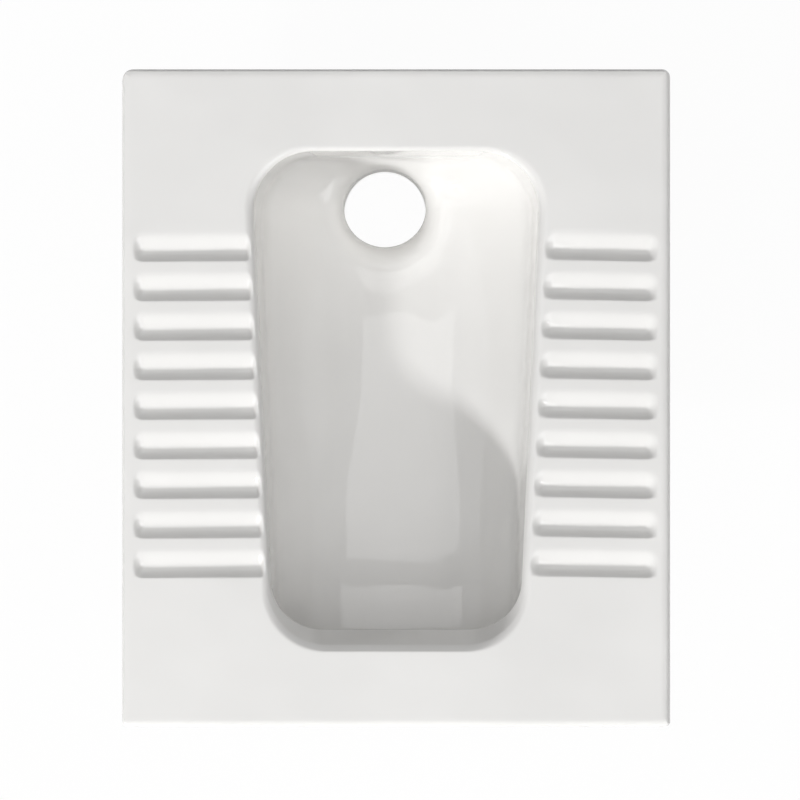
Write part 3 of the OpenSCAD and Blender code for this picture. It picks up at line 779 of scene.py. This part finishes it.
def buildPipeSeal():
    f = fitting
    end = f["tailEnd"]
    rows = softCorners([
        (f["pipeWayR"], end - 6, 0.3), (17, end - 6, 0.4), (18, end - 4, 0.4), (18, end, 0.3),
        (f["pipeWayR"], end, 0.3)])
    piece = extrudeRings("flush_pipe_seal_rubber", turnedRings(rows, (0, inlet["z"]), "y", 96))
    finishTurned(piece)
    return piece


fittingPieces = {
    "flush_spreader": (buildSpreader(), "plated_brass"),
    "inlet_inner_washer": (buildWasher("inlet_inner_washer_rubber", -236.5, -233.5), "washer_rubber"),
    "inlet_outer_washer": (buildWasher("inlet_outer_washer_rubber", -254, -251), "washer_rubber"),
    "inlet_backnut": (buildNut("inlet_backnut_brass", -262.5, -254, 0), "plated_brass"),
    "flush_pipe_seal": (buildPipeSeal(), "washer_rubber"),
    "inlet_union_nut": (buildNut("inlet_union_nut_brass", -282.8, -262.8, 4), "plated_brass"),
}
for node, (piece, slot) in fittingPieces.items():
    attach(piece, "root")
    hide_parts(node)
print("fittings:", len(fittingPieces), "pieces")


def noise(tree, place, size, detail=2.0, roughness=0.5):
    # soft noise whose patches are about size mm across
    return addNode(tree, "ShaderNodeTexNoise", {
        "Vector": place, "Scale": 1000 / size, "Detail": detail, "Roughness": roughness}).outputs["Fac"]


def glazedChina():
    # vitreous china, slip-cast, sprayed with an opaque white glaze and fired: a deep wet gloss
    # that runs a little uneven, with a few pinholes and specks
    material, tree = newMaterial("glazed_vitreous_china")
    place = addNode(tree, "ShaderNodeTexCoord").outputs["Object"]
    tone = addNode(tree, "ShaderNodeValToRGB", {"Fac": noise(tree, place, 140)},
                   ramp=[(0.35, "#e9e8e6"), (0.65, "#edecea")])
    cells = addNode(tree, "ShaderNodeTexVoronoi", {"Vector": place, "Scale": 1000 / 62})
    near = addNode(tree, "ShaderNodeMapRange", {"Value": cells.outputs["Distance"], "From Min": 0.011,
                                                "From Max": 0.006, "To Min": 0.0, "To Max": 1.0})
    few = addNode(tree, "ShaderNodeSeparateColor", {"Color": cells.outputs["Color"]})
    chosen = addNode(tree, "ShaderNodeMath", {0: few.outputs["Red"], 1: 0.86}, operation="GREATER_THAN")
    speck = addNode(tree, "ShaderNodeMath", {0: near.outputs["Result"], 1: chosen.outputs[0]},
                    operation="MULTIPLY")
    colour = addNode(tree, "ShaderNodeMix", {0: speck.outputs[0], 6: tone.outputs["Color"],
                                             7: linearColour("#8f8b84")}, data_type="RGBA")
    gloss = addNode(tree, "ShaderNodeMapRange", {
        "Value": noise(tree, place, 55), "To Min": 0.004, "To Max": 0.012})
    # the glaze's waves run long down the walls
    runs = addNode(tree, "ShaderNodeMapping", {"Vector": place, "Scale": (1, 1, 0.12)}).outputs["Vector"]
    ripple = addNode(tree, "ShaderNodeMath", {0: noise(tree, runs, 62, 1.0), 1: 0.0014},
                     operation="MULTIPLY")
    skin = addNode(tree, "ShaderNodeMath", {0: noise(tree, place, 3.2, 1.0), 1: 0.000003,
                                            2: ripple.outputs[0]}, operation="MULTIPLY_ADD")
    bump = addNode(tree, "ShaderNodeBump", {"Height": skin.outputs[0], "Distance": 1.0, "Strength": 1.0})
    shader = addNode(tree, "ShaderNodeBsdfPrincipled", {
        "Base Color": colour.outputs[2], "Roughness": gloss.outputs["Result"], "IOR": 1.52,
        "Normal": bump.outputs["Normal"]})
    addNode(tree, "ShaderNodeOutputMaterial", {"Surface": shader.outputs["BSDF"]})
    return material


def bareChina():
    # the faces that stood on the kiln shelf are wiped free of glaze: a dry, faintly cream body
    material, tree = newMaterial("unglazed_china_body")
    place = addNode(tree, "ShaderNodeTexCoord").outputs["Object"]
    tone = addNode(tree, "ShaderNodeValToRGB", {"Fac": noise(tree, place, 9, 4.0, 0.6)},
                   ramp=[(0.3, "#cfc8ba"), (0.7, "#dfdacd")])
    grain = addNode(tree, "ShaderNodeMath", {0: noise(tree, place, 0.8, 3.0), 1: 0.00008},
                    operation="MULTIPLY")
    bump = addNode(tree, "ShaderNodeBump", {"Height": grain.outputs[0], "Distance": 1.0, "Strength": 1.0})
    shader = addNode(tree, "ShaderNodeBsdfPrincipled", {
        "Base Color": tone.outputs["Color"], "Roughness": 0.85, "IOR": 1.5,
        "Normal": bump.outputs["Normal"]})
    addNode(tree, "ShaderNodeOutputMaterial", {"Surface": shader.outputs["BSDF"]})
    return material


def mouldedRubber(name, darkHex, paleHex):
    # black pressed rubber with a dry bloom from the mould
    material, tree = newMaterial(name)
    place = addNode(tree, "ShaderNodeTexCoord").outputs["Object"]
    bloom = noise(tree, place, 12, 4.0, 0.6)
    tone = addNode(tree, "ShaderNodeValToRGB", {"Fac": bloom}, ramp=[(0.35, darkHex), (0.75, paleHex)])
    gloss = addNode(tree, "ShaderNodeMapRange", {"Value": bloom, "To Min": 0.48, "To Max": 0.7})
    grain = addNode(tree, "ShaderNodeMath", {0: noise(tree, place, 0.5, 2.0), 1: 0.00003},
                    operation="MULTIPLY")
    bump = addNode(tree, "ShaderNodeBump", {"Height": grain.outputs[0], "Distance": 1.0, "Strength": 1.0})
    shader = addNode(tree, "ShaderNodeBsdfPrincipled", {
        "Base Color": tone.outputs["Color"], "Roughness": gloss.outputs["Result"], "IOR": 1.52,
        "Normal": bump.outputs["Normal"]})
    addNode(tree, "ShaderNodeOutputMaterial", {"Surface": shader.outputs["BSDF"]})
    return material


def platedBrass():
    # turned brass, polished and nickel-chrome plated, with fine turning lines round the bore
    material, tree = newMaterial("chrome_plated_brass")
    place = addNode(tree, "ShaderNodeTexCoord").outputs["Object"]
    tone = addNode(tree, "ShaderNodeValToRGB", {"Fac": noise(tree, place, 18)},
                   ramp=[(0.35, "#c9c9c8"), (0.7, "#dadbdc")])
    gloss = addNode(tree, "ShaderNodeMapRange", {
        "Value": noise(tree, place, 7, 4.0), "To Min": 0.07, "To Max": 0.2})
    stretch = addNode(tree, "ShaderNodeMapping", {"Vector": place, "Scale": (60, 2400, 60)})
    lines = addNode(tree, "ShaderNodeTexNoise", {
        "Vector": stretch.outputs["Vector"], "Scale": 1.0, "Detail": 2.0})
    height = addNode(tree, "ShaderNodeMath", {0: lines.outputs["Fac"], 1: 0.000006}, operation="MULTIPLY")
    bump = addNode(tree, "ShaderNodeBump", {"Height": height.outputs[0], "Distance": 1.0, "Strength": 1.0})
    shader = addNode(tree, "ShaderNodeBsdfPrincipled", {
        "Base Color": tone.outputs["Color"], "Metallic": 1.0, "Roughness": gloss.outputs["Result"],
        "Normal": bump.outputs["Normal"]})
    addNode(tree, "ShaderNodeOutputMaterial", {"Surface": shader.outputs["BSDF"]})
    return material


china = glazedChina()
panPiece.data.materials.clear()
panPiece.data.materials.append(china)
panPiece.data.materials.append(bareChina())
# bare china: the feet of the webs and the spigot, and the skirt's lower edge
skirtFoot = (pan["deckTop"] - pan["skirtH"] + 0.3) * mm
skirtX = (pan["deckW"] / 2 - 14) * mm
skirtY = (pan["deckL"] / 2 - 14) * mm
for face in panPiece.data.polygons:
    x, y, z = face.center
    atSkirt = abs(x) > skirtX or abs(y) > skirtY
    face.material_index = int(face.normal.z < -0.8 and (z < 0.0003 or (atSkirt and z < skirtFoot)))

sealPiece.data.materials.clear()
sealPiece.data.materials.append(mouldedRubber("outlet_seal_rubber", "#1d1d1e", "#2b2b2c"))
washerRubber = mouldedRubber("inlet_washer_rubber", "#232221", "#333130")
brass = platedBrass()
for piece, slot in fittingPieces.values():
    piece.data.materials.clear()
    piece.data.materials.append(brass if slot == "plated_brass" else washerRubber)
print("materials done")


# floor, light and camera, in metres
studio = {
    "floorSize": 60, "floorHex": "#f6f6f5", "floorGlow": 0.96, "drainR": 0.06, "ambient": 0.03,
    "aimHeight": 0.15,
    # degrees round from the front, to the left; degrees up; metres away; metres wide and high; watts
    "lamps": {
        "key_lamp": (25, 27.5, 12, 1.1, 0.46, 775),
        "front_left_panel": (45, 50, 12, 6.9, 6.9, 205),
        "front_right_panel": (-45, 50, 12, 6.9, 6.9, 310),
        "right_panel": (-90, 45, 8, 4.6, 4.6, 75),
        "left_panel": (90, 45, 4, 2.3, 2.3, 10.5),
        "low_left_panel": (45, 15, 8, 4.6, 3.4, 90),
        "rear_panel": (140, 70, 2.2, 1.2, 1.2, 2.4),
        "small_lamp": (-52, 28.5, 8, 0.36, 0.14, 16),
    },
    "notMirrored": ("right_panel", "left_panel", "rear_panel", "front_left_panel"),
    "onlyMirrored": ("rear_ceiling_panel",),
    # degrees off the plumb line, to the left and right and to the front and rear; brightness
    "ceiling": {"ceiling_panel": (-32, 10.5, -16, 16.5, 1.15), "rear_ceiling_panel": (-40, 24, 28, 50, 1.2)},
    "ceilingHeight": 8,
}


def seenByEye(tree, mask=1.0):
    # 1 for camera rays, and for the glossy and transmission rays that the mask lets through
    rays = addNode(tree, "ShaderNodeLightPath")
    mirrored = addNode(tree, "ShaderNodeMath", {
        0: rays.outputs["Is Glossy Ray"], 1: rays.outputs["Is Transmission Ray"]}, operation="MAXIMUM")
    mirrored = addNode(tree, "ShaderNodeMath", {0: mirrored.outputs[0], 1: mask}, operation="MULTIPLY")
    return addNode(tree, "ShaderNodeMath", {0: rays.outputs["Is Camera Ray"], 1: mirrored.outputs[0]},
                   operation="MAXIMUM").outputs[0]


clearSelection()
bpy.ops.mesh.primitive_plane_add(size=studio["floorSize"], location=(0, 0, 0))
floor = bpy.context.object
floor.name = "studio_floor"
material, tree = newMaterial("studio_floor_paint")
# inside the outlet it is dark as in a drain, so the throat mirrors no white floor
spot = addNode(tree, "ShaderNodeNewGeometry").outputs["Position"]
away = addNode(tree, "ShaderNodeVectorMath", {0: spot, 1: (*(boreCentre * mm), 0)}, operation="DISTANCE")
outside = addNode(tree, "ShaderNodeMath", {0: away.outputs["Value"], 1: studio["drainR"]},
                  operation="GREATER_THAN")
share = addNode(tree, "ShaderNodeMath", {0: seenByEye(tree, outside.outputs[0]), 1: studio["floorGlow"]},
                operation="MULTIPLY")
paint = addNode(tree, "ShaderNodeBsdfDiffuse", {"Color": linearColour(studio["floorHex"])})
white = addNode(tree, "ShaderNodeEmission", {"Color": (1, 1, 1, 1), "Strength": 1.0})
both = addNode(tree, "ShaderNodeMixShader", {0: share.outputs[0], 1: paint.outputs[0], 2: white.outputs[0]})
# clear from below, to show the underside
below = addNode(tree, "ShaderNodeNewGeometry").outputs["Backfacing"]
clear = addNode(tree, "ShaderNodeBsdfTransparent")
both = addNode(tree, "ShaderNodeMixShader", {0: below, 1: both.outputs[0], 2: clear.outputs[0]})
addNode(tree, "ShaderNodeOutputMaterial", {"Surface": both.outputs[0]})
floor.data.materials.append(material)

world = bpy.data.worlds.new("studio_world")
bpy.context.scene.world = world
world.use_nodes = True
tree = world.node_tree
tree.nodes.clear()
strength = addNode(tree, "ShaderNodeMath", {0: seenByEye(tree), 1: studio["ambient"]}, operation="MAXIMUM")
sky = addNode(tree, "ShaderNodeBackground", {"Color": (1, 1, 1, 1), "Strength": strength.outputs[0]})
addNode(tree, "ShaderNodeOutputWorld", {"Surface": sky.outputs[0]})


def addPanel(name, place, rotation, width, height, watts):
    clearSelection()
    bpy.ops.object.light_add(type="AREA", location=place, rotation=rotation)
    lamp = bpy.context.object
    lamp.name = name
    lamp.data.shape = "RECTANGLE"
    lamp.data.size = width
    lamp.data.size_y = height
    lamp.data.energy = watts
    lamp.visible_glossy = name not in studio["notMirrored"]
    lamp.visible_diffuse = name not in studio["onlyMirrored"]


for name, (bearing, up, away, width, height, watts) in studio["lamps"].items():
    turn = math.radians(bearing)
    lift = math.radians(up)
    x = -math.sin(turn) * math.cos(lift)
    y = -math.cos(turn) * math.cos(lift)
    place = (x * away, y * away, studio["aimHeight"] + math.sin(lift) * away)
    addPanel(name, place, (math.pi / 2 - lift, 0, math.atan2(y, x) + math.pi / 2), width, height, watts)
for name, (*spans, brightness) in studio["ceiling"].items():
    x0, x1, y0, y1 = [studio["ceilingHeight"] * math.tan(math.radians(a)) for a in spans]
    place = ((x0 + x1) / 2, (y0 + y1) / 2, studio["aimHeight"] + studio["ceilingHeight"])
    addPanel(name, place, (0, 0, 0), x1 - x0, y1 - y0, math.pi * (x1 - x0) * (y1 - y0) * brightness)

photo = {"x": 0.00346, "y": -0.00182, "distance": 3.2, "focal": 158.2, "sensor": 36}
clearSelection()
bpy.ops.object.camera_add(location=(photo["x"], photo["y"], pan["deckTop"] * mm + photo["distance"]))
camera = bpy.context.object
camera.name = "photo_camera"
camera.data.lens = photo["focal"]
camera.data.sensor_width = photo["sensor"]
camera.data.clip_end = 100
bpy.context.scene.camera = camera
bpy.context.scene.view_settings.view_transform = "Standard"
print("light and camera done")
